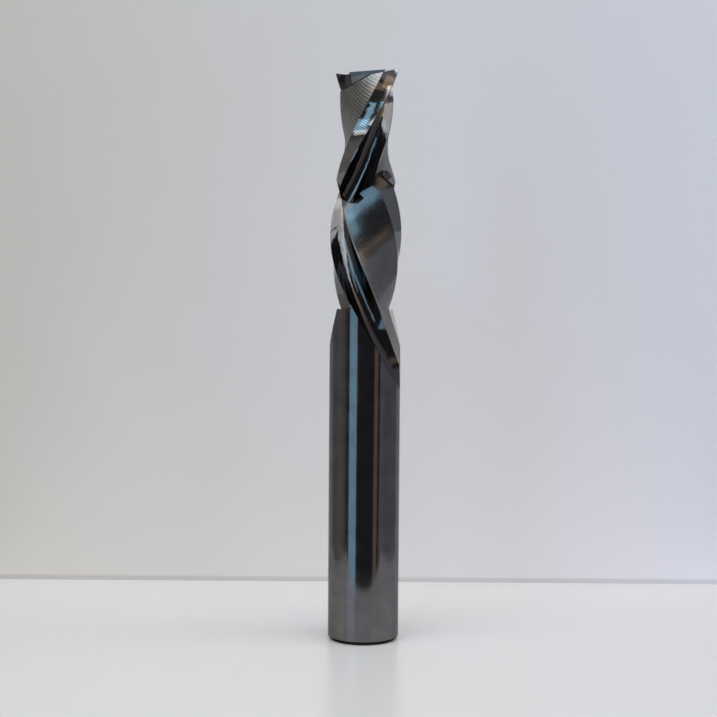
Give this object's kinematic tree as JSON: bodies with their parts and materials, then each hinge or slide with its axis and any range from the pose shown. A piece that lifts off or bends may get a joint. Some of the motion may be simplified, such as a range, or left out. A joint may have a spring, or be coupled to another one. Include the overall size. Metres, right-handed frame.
{
  "type": "router bit",
  "caption": "Solid carbide spiral compression router bit: plain round shank, a right-hand spiral at the tip and a left-hand spiral next to the shank.",
  "frame": {"origin": "centre of the shank's flat end", "axes": "+Z along the bit's axis, from the shank end up to the cutting tip; +X to the right seen from the front"},
  "size_m": [0.0096, 0.0096, 0.0762],
  "materials": {
    "ground_carbide": "ground and polished tungsten carbide"
  },
  "bodies": {
    "root": {"router_bit": "ground_carbide"}
  },
  "joints": []
}
